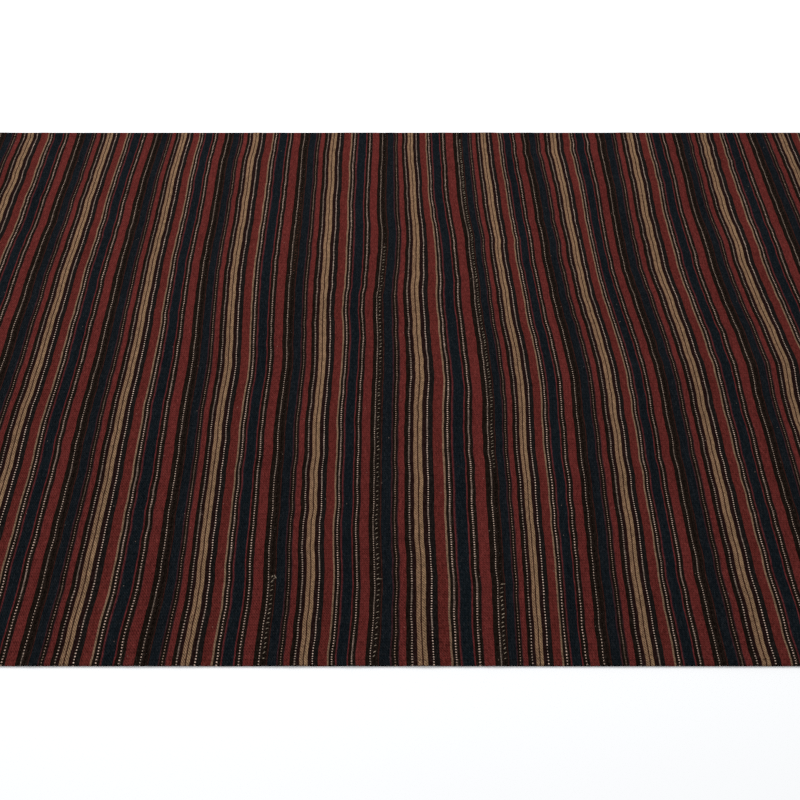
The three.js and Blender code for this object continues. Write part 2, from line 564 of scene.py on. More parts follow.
    def _lint(self, bench: Bench, color: Wire, across: Wire, along: Wire, strip: Wire, bow: Wire) -> Wire:
        """Scatters a few pale bits of lint.

        Args:
            bench: The material's bench.
            color: The colour under the lint.
            across: The place across, in millimetres.
            along: The place along, in millimetres.
            strip: The strip's number.
            bow: The roundness over one warp.

        Returns:
            The colour with lint on it.
        """
        column = (across / (self.lint_width / MM)).floor()
        row = (along / (self.lint_length / MM)).floor()
        rare = bench.scatter(column, row, strip) > self.lint_rarity
        return bench.mix(color, Yarn.OATMEAL.light(), rare * bow * self.lint)


@dataclass(frozen=True)
class SewingThread:
    """Plied thread. It reads what its stitch holds: how pale it is, its own shade, and the place on it."""

    name: str = "sewing_thread"
    turns: float = 5.0
    bump: float = 0.2 * MM

    def build(self) -> bpy.types.Material:
        """Builds the finish.

        Returns:
            The material.
        """
        material, bench, shader = new_material(self.name)
        kind = self._read(bench, "Pale")
        shade = self._read(bench, "Shade")
        along = self._read(bench, "Along")
        side, front, _ = bench.parts(self._read(bench, "Round", "Vector"))
        color = bench.mix(Yarn.SEWING_DARK.light(), Yarn.SEWING_RUSSET.light(), kind.rise(0.05, 0.45))
        color = bench.mix(color, Yarn.SEWING_PALE.light(), kind.rise(0.55, 0.95))
        twist = along * (2 * math.pi * self.turns)
        ply = side * twist.cos() + front * twist.sin()
        x, y, z = bench.parts(bench.wire("ShaderNodeTexCoord", None, None, "Object"))
        fibre = bench.noise(x / MM, y / MM, z / MM, 2)
        factor = (0.5 + 0.7 * shade) * (0.9 + 0.16 * ply) * (1 + fibre * 0.6)
        normal = bench.bump(ply * 0.5 + fibre, self.bump, 0.7)
        bench.feed(shader, {"Base Color": bench.dim(color, factor), "Roughness": 0.9 + fibre * 0.1,
                            "Normal": normal, "Specular IOR Level": 0.02})
        return material

    @staticmethod
    def _read(bench: Bench, attribute: str, output: str = "Fac") -> Wire:
        """Reads one of the thread's attributes."""
        return bench.wire("ShaderNodeAttribute", {"attribute_name": attribute}, None, output)


@dataclass(frozen=True)
class PaleFloor:
    """Matt paint for the floor, a little cloudy between two greys."""

    name: str = "pale_paint"
    lighter: float = 0.86
    darker: float = 0.84

    def build(self) -> bpy.types.Material:
        """Builds the finish.

        Returns:
            The material.
        """
        material, bench, shader = new_material(self.name)
        x, y, z = bench.parts(bench.wire("ShaderNodeTexCoord", None, None, "Object"))
        cloud = bench.noise(x, y, z, 2)
        color = bench.mix((self.lighter,) * 3, (self.darker,) * 3, 0.5 + cloud)
        bench.feed(shader, {"Base Color": color, "Roughness": 0.9, "Specular IOR Level": 0.1})
        return material


# The way the cloth lies

def hump(place: Array) -> Array:
    """A smooth rise and fall: 0 at -1, 1 at 0 and 0 again at 1."""
    return np.where(np.abs(place) < 1, 0.5 + 0.5 * np.cos(np.pi * place), 0.0)


@dataclass(frozen=True)
class Pull:
    """A sideways pull of the cloth: its middle, its reach each way and its shift to +X. Millimetres."""

    x: float
    y: float
    across: float
    along: float
    shift: float


@dataclass(frozen=True)
class Ripple:
    """A low ripple along a line that runs across the strips. Millimetres, and its slant."""

    x: float
    y: float
    slant: float
    half_width: float
    reach: float
    height: float


# The solids' own pulls and, further down, their own ripples.
PULLS = (
    Pull(390, -70, 330, 330, 16),
    Pull(880, 0, 220, 180, 10),
    Pull(390, 733, 300, 420, -12),
    Pull(390, -780, 330, 330, -10),
    Pull(-340, 260, 260, 300, -9),
    Pull(660, 280, 230, 200, -11),
    Pull(-650, 780, 250, 300, 10),
    Pull(82, 200, 180, 330, 6),
    Pull(82, -500, 200, 300, -4),
    Pull(-340, -115, 260, 140, 4),
    Pull(-340, -590, 240, 250, 5),
    Pull(-560, -760, 240, 200, -5),
    Pull(-1235, 240, 280, 400, 6),
    Pull(1235, -260, 280, 380, -7),
    Pull(560, 300, 240, 330, -5),
    Pull(700, 490, 200, 120, -6),
    Pull(700, -110, 250, 190, 7),
    Pull(400, -310, 210, 220, 5),
    Pull(-380, 560, 180, 260, -5),
    Pull(-380, -380, 180, 250, 4),
    Pull(110, -100, 120, 130, 5),
    Pull(60, 350, 120, 110, 4),
    Pull(60, 160, 120, 90, -4),
    Pull(-880, 620, 200, 300, 7),
    Pull(880, 740, 170, 120, 5),
    Pull(-20, 690, 110, 340, 12.5),
    Pull(-20, 340, 110, 250, 9.5),
    Pull(175, 520, 150, 240, -12),
    Pull(175, 740, 130, 200, -9),
    Pull(80, 480, 90, 220, 7),
    Pull(190, -330, 130, 330, 4),
    Pull(330, -500, 200, 250, 3),
    Pull(-430, -560, 150, 160, 4),
    Pull(500, 560, 130, 260, -4.5),
    Pull(850, 470, 110, 120, -4),
    Pull(-900, 400, 130, 150, 4),
    Pull(20, -760, 150, 110, -5),
    Pull(800, -250, 130, 180, 4),
    Pull(-60, 20, 90, 130, 4),
    Pull(-720, -100, 150, 450, -3),
    Pull(-400, -270, 170, 220, 2.5),
    Pull(620, -270, 200, 180, 2.5),
)

# Slight pulls, too small for the solids. Those of whole strips are listed by the place of the strip's middle,
# each with its place along the strip, its reach along it and its shift. Those of parts of strips follow.
PULLED_ACROSS = 205
STRIP_PULLS = {
    -926: ((745, 110, 4.4), (540, 60, 3.6), (385, 60, 2.3)),
    -715.5: ((545, 70, 3.4), (415, 60, 2.2), (215, 140, -3.0), (70, 50, 1.5), (-65, 40, 1.6),
             (-240, 130, -3.7), (-460, 160, -1.9)),
    -509: ((750, 100, 2.6), (480, 150, 2.0), (250, 60, -1.4), (0, 120, 2.0), (-165, 90, -1.5),
           (-400, 140, 1.8), (-580, 130, 1.2)),
    -302: ((615, 90, -2.6), (480, 90, -1.5), (-50, 130, 3.0), (-305, 50, 2.7), (-400, 90, 1.1),
           (-640, 120, 2.8)),
    -98: ((750, 90, 3.4), (555, 60, 1.9), (400, 100, 1.2), (95, 80, -2.1), (-75, 70, 2.5),
          (-230, 100, -2.2), (-375, 70, -1.8), (-490, 60, -1.5), (-615, 90, 3.0), (-750, 60, -2.4)),
    117: ((600, 210, 2.6), (115, 80, -2.7), (-70, 130, 2.2), (-290, 90, -1.5), (-580, 90, 2.2),
          (-670, 60, -1.3)),
    322: ((430, 110, -2.3), (280, 60, -2.7), (180, 60, 1.3), (60, 70, -2.6), (-130, 110, 2.9),
          (-380, 60, 1.7), (-680, 150, 2.3)),
    511.5: ((745, 40, -1.2), (670, 60, -3.0), (560, 50, 2.3), (400, 70, -1.7), (110, 110, -3.1),
            (-130, 130, 2.3), (-265, 60, 3.0), (-380, 60, 2.4), (-470, 70, 2.3), (-590, 60, -1.3),
            (-740, 60, 1.9)),
    711: ((750, 100, 4.0), (540, 70, 3.9), (420, 50, -2.0), (290, 110, 2.8), (25, 90, 3.3),
          (-130, 80, 1.6), (-260, 80, 2.4), (-400, 100, 1.9), (-585, 50, -1.7)),
    918: ((600, 50, -1.6), (490, 120, -2.8), (385, 80, -2.0), (235, 80, -2.6), (130, 60, 1.9),
          (-85, 120, 6.5)),
}
SLIGHT_PULLS = tuple(
    Pull(middle, place, PULLED_ACROSS, along, shift)
    for middle, pulls in STRIP_PULLS.items() for place, along, shift in pulls
) + (
    Pull(-165, 190, 70, 90, -2),
    Pull(-60, 200, 80, 150, 2),
    Pull(60, 760, 90, 80, 3),
    Pull(60, -640, 80, 90, -1.5),
    Pull(175, 450, 80, 120, 2.2),
    Pull(175, -160, 80, 90, 2),
    Pull(175, -636, 80, 70, 1.7),
    Pull(265, 600, 80, 300, -1.5),
    Pull(265, -230, 70, 90, 2),
    Pull(365, 720, 90, 90, 2.8),
    Pull(365, -760, 70, 50, 2),
    Pull(450, 520, 70, 160, 1.5),
    Pull(450, 262, 70, 50, -2.5),
    Pull(625, 560, 120, 170, -3),
    Pull(770, 640, 90, 170, 2.2),
)

RIPPLES = (
    Ripple(560, 640, -0.05, 60, 640, 5),
    Ripple(640, 500, -0.08, 60, 560, 7),
    Ripple(420, 285, -0.03, 65, 520, 5),
    Ripple(-620, 545, 0.04, 65, 560, 5),
    Ripple(-20, 120, 0.03, 60, 420, 4),
    Ripple(-760, 60, -0.06, 70, 420, 4),
    Ripple(700, -80, 0.05, 60, 460, 5),
    Ripple(180, -190, 0.02, 55, 400, 4),
    Ripple(400, -350, 0.06, 60, 520, 6),
    Ripple(-300, -300, -0.04, 60, 420, 4),
    Ripple(-560, -560, 0.05, 65, 480, 4),
)


@dataclass(frozen=True)
class Waves:
    """Many small waves with random headings, which add up to an uneven surface. Metres, and radians."""

    count: int
    shortest: float
    longest: float
    size: float
    seed: int
    tilt: float

    def at(self, x: Array, y: Array) -> Array:
        """Adds the waves up.

        Args:
            x: Places across, in metres.
            y: Places along, in metres.

        Returns:
            The sum at each place, mostly within the size.
        """
        chance = np.random.default_rng(self.seed)
        total = np.zeros(np.broadcast(x, y).shape)
        for _ in range(self.count):
            length = self.shortest * (self.longest / self.shortest) ** chance.random()
            heading = chance.normal(math.pi / 2, self.tilt)
            phase = 2 * math.pi * chance.random()
            steps = x * math.cos(heading) + y * math.sin(heading)
            total = total + np.cos(2 * math.pi * steps / length + phase)
        return total * self.size / math.sqrt(self.count)


@dataclass(frozen=True)
class Lie:
    """How the cloth lies on the ground: its sideways pulls, its ripples, its puckers and its turned ends.

    Its rounded ends reach a hair further than the solids' square ones, so that both look equally long.
    """

    length: float = 1526.6 * MM
    cloth: float = 2.2 * MM
    hem_turn: float = 13 * MM
    hem_slope: float = 5 * MM
    hem_rise: float = 1.5 * MM
    wander: Waves = Waves(count=22, shortest=0.05, longest=0.2, size=0.5 * MM, seed=11, tilt=0.35)
    pucker: Waves = Waves(count=30, shortest=0.035, longest=0.11, size=0.45 * MM, seed=29, tilt=0.5)

    def side_shift(self, x: Array, y: Array) -> Array:
        """How far the cloth is shifted towards +X.

        Args:
            x: Places across before the shift, in metres.
            y: Places along, in metres.

        Returns:
            The shift in metres.
        """
        total = self.wander.at(x, y)
        for pull in PULLS + SLIGHT_PULLS:
            wide = hump((x / MM - pull.x) / pull.across)
            total = total + pull.shift * MM * wide * hump((y / MM - pull.y) / pull.along)
        return total

    def lift(self, x: Array, y: Array) -> Array:
        """How high the underside lies above the ground.

        Args:
            x: Places across before the shift, in metres.
            y: Places along, in metres.

        Returns:
            The height in metres.
        """
        total = np.maximum(self.pucker.at(x, y), 0)
        for ripple in RIPPLES:
            crest = ripple.y + ripple.slant * (x / MM - ripple.x)
            over = hump((y / MM - crest) / ripple.half_width) * hump((x / MM - ripple.x) / ripple.reach)
            total = total + ripple.height * MM * over
        return total

    def thickness(self, y: Array) -> Array:
        """The cloth's thickness: two layers in the turned ends, and one elsewhere."""
        into = np.clip((self.length / 2 - np.abs(y) - self.hem_turn) / self.hem_slope, 0, 1)
        return self.cloth + self.hem_rise * (1 - into * into * (3 - 2 * into))

    def on_top(self, x: Array, y: Array, sunk: float = 0.0) -> Array:
        """Points on the cloth's top, or sunk under it, one row each. Places are from before the shift."""
        top = self.lift(x, y) + self.thickness(y) - sunk
        return np.stack([x + self.side_shift(x, y), y, top], -1)


def rounded(inwards: Array, radius: float) -> Array:
    """How full a rounded edge is, from 0 at the very edge to 1 at its radius inwards."""
    return np.sqrt(np.clip(1 - (1 - np.clip(inwards / radius, 0, 1)) ** 2, 0, 1))


# Strips

@dataclass(frozen=True)
class Strip:
    """One woven strip between two seams. It replaces its solid, with a finer mesh of the same form.

    The thinnest edge is a share of the cloth's thickness. The groove runs along the turned end's inner edge.
    The steps are the places of the mesh's columns and rows beside an edge and an end, in millimetres.
    """

    number: int
    left_seam: float
    left: float
    right: float
    seam_room: float = 0.1 * MM
    edge_radius: float = 1.5 * MM
    thinnest: float = 0.1
    groove_place: float = 0.3 * MM
    groove_width: float = 0.9 * MM
    groove_depth: float = 0.8 * MM
    row_step: float = 3.5 * MM
    field_columns: int = 20

    EDGE_STEPS = (0.0, 0.25, 0.8, 1.6, 3.0, 6.0)
    HEM_STEPS = (0.0, 0.2, 0.6, 1.2, 2.0, 4.5, 8.5, 12.4, 13.0, 13.6, 14.2, 15.5, 16.8, 18.0)

    # The spreading map: the lanes of the top, how full they are, and the room around each. The band for the
    # rest, the height of a wall in it, the share of the band that an end takes, and in walls' heights how far
    # up the left wall, the right one, the ends and the underside lie.
    LANES = 3
    FULLNESS = 0.99
    ROOM = 0.004
    BAND = 0.17
    WALL = 0.004
    END_SHARE = 0.45
    LEFT_UP, RIGHT_UP, ENDS_UP, UNDER_UP = 0.5, 2.0, 3.5, 5.0

    @property
    def node(self) -> str:
        """The name of the solid that the strip replaces."""
        return f"strip_{self.number:02d}"

    @property
    def width(self) -> float:
        """The strip's width."""
        return self.left + self.right

    @property
    def right_seam(self) -> float:
        """The place of the seam at the strip's right."""
        return self.left_seam + self.width

    def columns(self) -> Array:
        """Places the mesh's columns, close together at both edges.

        Returns:
            Their places across, in metres on the plan of stripes.
        """
        edge = np.array(self.EDGE_STEPS) * MM
        field = np.linspace(edge[-1], NOMINAL_WIDTH - edge[-1], self.field_columns + 2)[1:-1]
        return np.concatenate([edge, field, NOMINAL_WIDTH - edge[::-1]])

    def rows(self, lie: Lie) -> Array:
        """Places the mesh's rows, close together at the turned ends.

        Args:
            lie: How the cloth lies.

        Returns:
            Their places along, in metres.
        """
        hem = np.array(self.HEM_STEPS) * MM
        end = lie.length / 2
        count = round(2 * (end - hem[-1]) / self.row_step)
        field = np.linspace(-end + hem[-1], end - hem[-1], count + 1)[1:-1]
        return np.concatenate([-end + hem, field, end - hem[::-1]])

    def mesh(self, lie: Lie) -> bpy.types.Mesh:
        """Makes the closed sheet: its top, its underside and the thin walls between them.

        Args:
            lie: How the cloth lies.

        Returns:
            The mesh, with its two UV maps.
        """
        columns, rows = self.columns(), self.rows(lie)
        plan, y = np.meshgrid(columns, rows)
        flat = self._on_ground(plan)
        x = flat + lie.side_shift(flat, y)
        thick = lie.thickness(y)
        edge = rounded(np.minimum(plan, NOMINAL_WIDTH - plan), self.edge_radius)
        from_end = lie.length / 2 - np.abs(y)
        full = self.thinnest + (1 - self.thinnest) * edge * rounded(from_end, lie.cloth)
        low = lie.lift(flat, y)
        groove = hump((from_end - lie.hem_turn - self.groove_place) / self.groove_width)
        under = low + thick / 2 * (1 - full) + groove * self.groove_depth
        top = low + thick / 2 * (1 + full)
        corners = np.concatenate([np.stack([x, y, under], -1).reshape(-1, 3),
                                  np.stack([x, y, top], -1).reshape(-1, 3)])
        faces = self._faces(len(rows), len(columns))
        mesh = bpy.data.meshes.new(self.node)
        mesh.from_pydata(corners.tolist(), [], faces.tolist())
        mesh.polygons.foreach_set("use_smooth", np.ones(len(faces), bool))
        self._map_weave(mesh, faces, plan, y)
        self._map_spread(mesh, faces, columns, rows)
        mesh.uv_layers[WEAVE_MAP].active = True
        mesh.uv_layers[WEAVE_MAP].active_render = True
        return mesh

    def _on_ground(self, plan: Array) -> Array:
        """Stretches the plan of stripes to this strip's own widths.

        Args:
            plan: Places across on the plan, in metres.

        Returns:
            The places across on the ground, in metres.
        """
        left_edge = self.left_seam + self.seam_room / 2
        right_edge = self.right_seam - self.seam_room / 2
        middle = self.left_seam + self.left
        return np.interp(plan, [0, PALE_MIDDLE, NOMINAL_WIDTH], [left_edge, middle, right_edge])

    def _faces(self, rows: int, columns: int) -> Array:
        """Lists the four-cornered faces: the top, the underside, the two sides and the two ends, facing out.

        Args:
            rows: How many rows of corners there are.
            columns: How many columns there are.

        Returns:
            The corners' numbers, one row for each face.
        """
        under = np.arange(rows * columns).reshape(rows, columns)
        top = under + rows * columns

        def between(a: Array, b: Array, c: Array, d: Array) -> Array:
            """Joins four runs of corners to one run of faces."""
            return np.stack([a, b, c, d], -1).reshape(-1, 4)

        return np.concatenate([
            between(top[:-1, :-1], top[:-1, 1:], top[1:, 1:], top[1:, :-1]),
            between(under[:-1, :-1], under[1:, :-1], under[1:, 1:], under[:-1, 1:]),
            between(under[:-1, 0], top[:-1, 0], top[1:, 0], under[1:, 0]),
            between(under[:-1, -1], under[1:, -1], top[1:, -1], top[:-1, -1]),
            between(under[0, :-1], under[0, 1:], top[0, 1:], top[0, :-1]),
            between(under[-1, :-1], top[-1, :-1], top[-1, 1:], under[-1, 1:]),
        ])

    def _map_weave(self, mesh: bpy.types.Mesh, faces: Array, plan: Array, y: Array) -> None:
        """Writes the map of the weave: the strip's number with the place across, and the place along.

        Args:
            mesh: The strip's mesh.
            faces: Its faces.
            plan: The corners' places across, on the plan of stripes.
            y: The corners' places along.
        """
        place = np.stack([self.number + MAP_MARGIN + plan, y], -1).reshape(-1, 2)
        both = np.concatenate([place, place])
        layer = mesh.uv_layers.new(name=WEAVE_MAP)
        layer.uv.foreach_set("vector", both[faces.ravel()].ravel().astype(np.float32))

    def _map_spread(self, mesh: bpy.types.Mesh, faces: Array, columns: Array, rows: Array) -> None:
        """Writes the map that spreads all faces over a square: the top in lanes, and the rest in a band.

        Args:
            mesh: The strip's mesh.
            faces: Its faces, in the order of _faces.
            columns: The places across of its columns.
            rows: The places along of its rows.
        """
        across = columns / NOMINAL_WIDTH
        along = (rows - rows[0]) / (rows[-1] - rows[0])
        row = np.repeat(np.arange(len(rows) - 1), len(columns) - 1)
        column = np.tile(np.arange(len(columns) - 1), len(rows) - 1)
        corners = ((0, 0), (1, 0), (1, 1), (0, 1))

        lane = np.minimum((along[row] * self.LANES).astype(int), self.LANES - 1)
        starts = np.array([along[row[lane == number][0]] for number in range(self.LANES)])
        width = 1 / self.LANES - self.ROOM
        height = (1 - self.BAND - 2 * self.ROOM) * self.FULLNESS

        def on_lane(right: int, ahead: int) -> Array:
            """Places one corner of each of the top's faces in the face's lane."""
            u = lane / self.LANES + self.ROOM / 2 + across[column + right] * width
            v = self.BAND + self.ROOM + (along[row + ahead] - starts[lane]) * self.LANES * height
            return np.stack([u, v], -1)

        def in_band(place: Array, depth: Array) -> Array:
            """Places corners in the band, along it and across it."""
            return np.stack([self.ROOM + place * (1 - 2 * self.ROOM), depth], -1)

        def wall(level: float, order: Sequence[tuple[int, int]], places: Array) -> Array:
            """Lays a thin wall along the band. The order says of each corner whether it is ahead, and up."""
            ends = (places[:-1], places[1:])
            return np.stack([in_band(ends[ahead], np.full(len(places) - 1, (level + up) * self.WALL))
                             for ahead, up in order], 1)

        top = np.stack([on_lane(right, ahead) for right, ahead in corners], 1)
        foot, deep = self.UNDER_UP * self.WALL, self.BAND - (self.UNDER_UP + 1) * self.WALL
        under = np.stack([in_band(along[row + ahead], foot + across[column + right] * deep)
                          for ahead, right in corners], 1)
        turned = ((0, 0), (0, 1), (1, 1), (1, 0))
        near = across * self.END_SHARE
        spread = np.concatenate([
            top, under, wall(self.LEFT_UP, turned, along), wall(self.RIGHT_UP, corners, along),
            wall(self.ENDS_UP, corners, near), wall(self.ENDS_UP, turned, 0.5 + near)])
        layer = mesh.uv_layers.new(name=SPREAD_MAP)
        layer.uv.foreach_set("vector", spread.ravel().astype(np.float32))

    def build(self, lie: Lie, finish: bpy.types.Material) -> bpy.types.Object:
        """Makes the strip, dresses it and sets it in the frame.

        Args:
            lie: How the cloth lies.
            finish: The woven finish.

        Returns:
            The strip's object.
        """
        mesh = self.mesh(lie)
        mesh.materials.append(finish)
        piece = add_piece(f"{self.node}_cloth", mesh)
        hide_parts(self.node)
        log.info("%s: a sheet %.0f mm wide, %d faces", piece.name, self.width / MM, len(mesh.polygons))
        return piece


def add_piece(name: str, mesh: bpy.types.Mesh) -> bpy.types.Object:
    """Adds a finished mesh to the scene as a piece of the kilim.

    Args:
        name: The piece's name.
        mesh: Its mesh, already in place.

    Returns:
        The new object, riding on the kilim's body.
    """
    piece = bpy.data.objects.new(name, mesh)
    bpy.context.scene.collection.objects.link(piece)
    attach(piece, BODY)
    return piece


# Stitches

class Thread(Enum):
    """The sewing threads, by how pale each is, from 0 to 1."""

    DARK = 0.0
    RUSSET = 0.5
    PALE = 1.0


class Run(Enum):
    """How a path's points are joined, by the step from one piece of it to the next."""

    UNBROKEN = 1
    IN_PAIRS = 2


@dataclass(frozen=True)
class StitchKind:
    """The sizes of one kind of stitch. A slant is from straight across the path, in radians."""

    name: str
    pitch: float
    length: float
    thickness: float
    rise: float
    slant: float
    unevenness: float
    seed: int


JOINING = StitchKind("joining_stitches", 10.5 * MM, 6.2 * MM, 1.5 * MM, 1.1 * MM, math.radians(32), 0.2, 5)
LOOSE = StitchKind("loose_bits", 100 * MM, 9.5 * MM, 1.2 * MM, 0.7 * MM, math.radians(90), 0.1, 3)
HEMMING = StitchKind("hem_stitches", 9.0 * MM, 3.2 * MM, 0.9 * MM, 0.5 * MM, math.radians(90), 0.12, 8)


class StitchTree:
    """Geometry nodes that lay a row of stitches along a path. The inputs are the fields of StitchKind."""

    INPUTS = ("Pitch", "Length", "Thickness", "Rise", "Slant", "Unevenness", "Seed")

    # The steps of a stitch's arc, the thread's sides, and how far apart the seeds of two chances lie.
    STEPS = 6
    SIDES = 6
    SEED_STEP = 100.0

    def __init__(self, finish: bpy.types.Material) -> None:
        """Builds the tree.

        Args:
            finish: The thread's finish.
        """
        self.tree = bpy.data.node_groups.new("stitches_along_a_path", "GeometryNodeTree")
        face = self.tree.interface
        face.new_socket("Path", in_out="INPUT", socket_type="NodeSocketGeometry")
        for name in self.INPUTS:
            kind = "NodeSocketInt" if name == "Seed" else "NodeSocketFloat"
            face.new_socket(name, in_out="INPUT", socket_type=kind)
        face.new_socket("Stitches", in_out="OUTPUT", socket_type="NodeSocketGeometry")
        self.bench = Bench(self.tree)
        given = self.bench.node("NodeGroupInput")
        self.given = {socket.name: Wire(self.bench, socket) for socket in given.outputs if socket.name}
        self._finish_with(finish, self._lay(self._stitch()))

    def _stitch(self) -> Wire:
        """Makes one stitch at the origin, along X: an arc of thread with its ends sunk in the cloth.

        Returns:
            The stitch.
        """
        bench, given = self.bench, self.given
        half = given["Length"] * 0.5
        sunk = given["Thickness"] * -0.5
        sockets = {"Resolution": self.STEPS, "Start": bench.vector(half * -1, 0.0, sunk),
                   "Middle": bench.vector(0.0, 0.0, given["Rise"] * 2), "End": bench.vector(half, 0.0, sunk)}
        arc = bench.wire("GeometryNodeCurveQuadraticBezier", None, sockets)
        along = bench.wire("GeometryNodeSplineParameter")
        arc = self._store(arc, "Along", "FLOAT", "POINT", along)
        ring = bench.wire("GeometryNodeCurvePrimitiveCircle", None, {"Resolution": self.SIDES, "Radius": 1.0})
        ring = self._store(ring, "Round", "FLOAT_VECTOR", "POINT", bench.wire("GeometryNodeInputPosition"))
        plump = given["Thickness"] * 0.5 * (0.6 + 0.4 * (along * math.pi).sin())
        sockets = {"Curve": arc, "Profile Curve": ring, "Scale": plump, "Fill Caps": True}
        tube = bench.wire("GeometryNodeCurveToMesh", None, sockets)
        return bench.wire("GeometryNodeSetShadeSmooth", None, {"Geometry": tube})

    def _lay(self, stitch: Wire) -> Wire:
        """Sets stitches along the path, each turned, sized and placed a little differently.

        Args:
            stitch: The single stitch.

        Returns:
            The stitches as instances.
        """
        bench, given = self.bench, self.given
        uneven = given["Unevenness"]
        aside, ahead, turned, longer, thicker, shade = (self._chance(step) for step in range(6))
        curve = bench.wire("GeometryNodeMeshToCurve", None, {"Mesh": given["Path"]})
        sockets = {"Curve": curve, "Length": given["Pitch"]}
        points = bench.node("GeometryNodeCurveToPoints", {"mode": "LENGTH"}, sockets)
        spots, tangent = (Wire(bench, points.outputs[name]) for name in ("Points", "Tangent"))
        spread = given["Pitch"] * uneven
        jog = bench.vector(aside * spread * 0.4, ahead * spread, 0.0)
        spots = bench.wire("GeometryNodeSetPosition", None, {"Geometry": spots, "Offset": jog})
        facing = bench.wire("FunctionNodeAlignRotationToVector", {"axis": "Y"}, {"Vector": tangent})
        turn = bench.vector(0.0, 0.0, given["Slant"] + turned * uneven * 1.6)
        turn = bench.wire("FunctionNodeEulerToRotation", None, {"Euler": turn})
        facing = bench.wire("FunctionNodeRotateRotation", {"rotation_space": "LOCAL"},
                            {"Rotation": facing, "Rotate By": turn})
        thick = 1 + thicker * uneven
        sockets = {"Points": spots, "Instance": stitch, "Rotation": facing,
                   "Scale": bench.vector(1 + longer * uneven, thick, thick)}
        laid = bench.wire("GeometryNodeInstanceOnPoints", None, sockets)
        return self._store(laid, "Shade", "FLOAT", "INSTANCE", 0.5 + 0.5 * shade)

    def _chance(self, step: int) -> Wire:
        """A random value from -1 to 1 for each stitch, by the tree's seed and a step of its own."""
        sockets = {"Seed": self.given["Seed"] + self.SEED_STEP * step, 2: -1.0, 3: 1.0}
        return self.bench.wire("FunctionNodeRandomValue", {"data_type": "FLOAT"}, sockets, 1)

    def _store(self, shape: Wire, name: str, kind: str, domain: str, value: Wire) -> Wire:
        """Keeps a value on the shape, under a name that the finish reads."""
        sockets = {"Geometry": shape, "Name": name, "Value": value}
        settings = {"data_type": kind, "domain": domain}
        return self.bench.wire("GeometryNodeStoreNamedAttribute", settings, sockets)

    def _finish_with(self, finish: bpy.types.Material, laid: Wire) -> None:
        """Ends the tree with real meshes, dressed in the thread's finish.

        Args:
            finish: The thread's finish.
            laid: The stitches as instances.
        """
        real = self.bench.wire("GeometryNodeRealizeInstances", None, {"Geometry": laid})
        dressed = self.bench.wire("GeometryNodeSetMaterial", None, {"Geometry": real, "Material": finish})
        self.bench.node("NodeGroupOutput", None, {"Stitches": dressed})

    def sew(self, name: str, path: Array, pale: Array, kind: StitchKind, seed: int,
            run: Run = Run.UNBROKEN) -> bpy.types.Object:
        """Sews a row of stitches.

        Args:
            name: The piece's name.
            path: The path's points, one row each.
            pale: How pale the thread is at each point.
            kind: The kind of stitch.
            seed: Added to the kind's own seed.
            run: How the path's points are joined.

        Returns:
            The stitches, as one plain mesh.
        """
        line = bpy.data.meshes.new(f"{name}_path")
        line.from_pydata(path.tolist(), [(step, step + 1) for step in range(0, len(path) - 1, run.value)], [])
        line.attributes.new("Pale", "FLOAT", "POINT").data.foreach_set("value", pale.astype(np.float32))
        carrier = bpy.data.objects.new(f"{name}_path", line)
        bpy.context.scene.collection.objects.link(carrier)
        modifier = carrier.modifiers.new("Stitches", "NODES")
        modifier.node_group = self.tree
        given = replace(kind, seed=kind.seed + seed)
        for item in self.tree.interface.items_tree:
            if item.name in self.INPUTS:
                modifier[item.identifier] = getattr(given, item.name.lower())
        graph = bpy.context.evaluated_depsgraph_get()
        mesh = bpy.data.meshes.new_from_object(carrier.evaluated_get(graph), depsgraph=graph,
                                               preserve_all_data_layers=True)
        bpy.data.objects.remove(carrier)
        mesh.name = name
        piece = add_piece(name, mesh)
        log.info("%s: %s, %d faces", name, kind.name, len(mesh.polygons))
        return piece


@dataclass(frozen=True)
class ThreadRun:
    """A stretch of a seam that is sewn with thread of another colour than dark. Millimetres."""

    seam: int
    start: float
    end: float
    thread: Thread


THREAD_RUNS = (
    ThreadRun(seam=5, start=-755, end=-586, thread=Thread.PALE),
    ThreadRun(seam=5, start=215, end=510, thread=Thread.RUSSET),
    ThreadRun(seam=6, start=-755, end=315, thread=Thread.PALE),
    ThreadRun(seam=7, start=-755, end=-606, thread=Thread.PALE),
    ThreadRun(seam=7, start=-350, end=733, thread=Thread.PALE),
)


# Seams that are sewn closer or wider than the others: the spacing of their stitches.
SEAM_PITCHES = {5: 9.2 * MM, 6: 10.8 * MM, 7: 8.4 * MM}


@dataclass(frozen=True)
class Seam:
    """A sewn seam between two strips."""

    number: int
    x: float
    point_step: float = 5 * MM
    end_room: float = 6 * MM
    sunk: float = 0.35 * MM

    def build(self, lie: Lie, stitches: StitchTree) -> bpy.types.Object:
        """Sews the seam.

        Args:
            lie: How the cloth lies.
            stitches: The tree that makes stitches.

        Returns:
            The seam's stitches.
        """
        end = lie.length / 2 - self.end_room
        y = np.linspace(-end, end, round(2 * end / self.point_step))
        x = np.full_like(y, self.x)
        path = lie.on_top(x, y, self.sunk)
        pale = np.full_like(y, Thread.DARK.value)
        for run in THREAD_RUNS:
            if run.seam == self.number:
                pale[(y / MM > run.start) & (y / MM < run.end)] = run.thread.value
        kind = replace(JOINING, pitch=SEAM_PITCHES.get(self.number, JOINING.pitch))
        return stitches.sew(f"seam_{self.number:02d}_sewing", path, pale, kind, self.number)


@dataclass(frozen=True)
class LooseBit:
    """A bit of thread that lies on the cloth. Millimetres, and degrees from straight along the strips."""

    x: float
    y: float
    heading: float
    thread: Thread


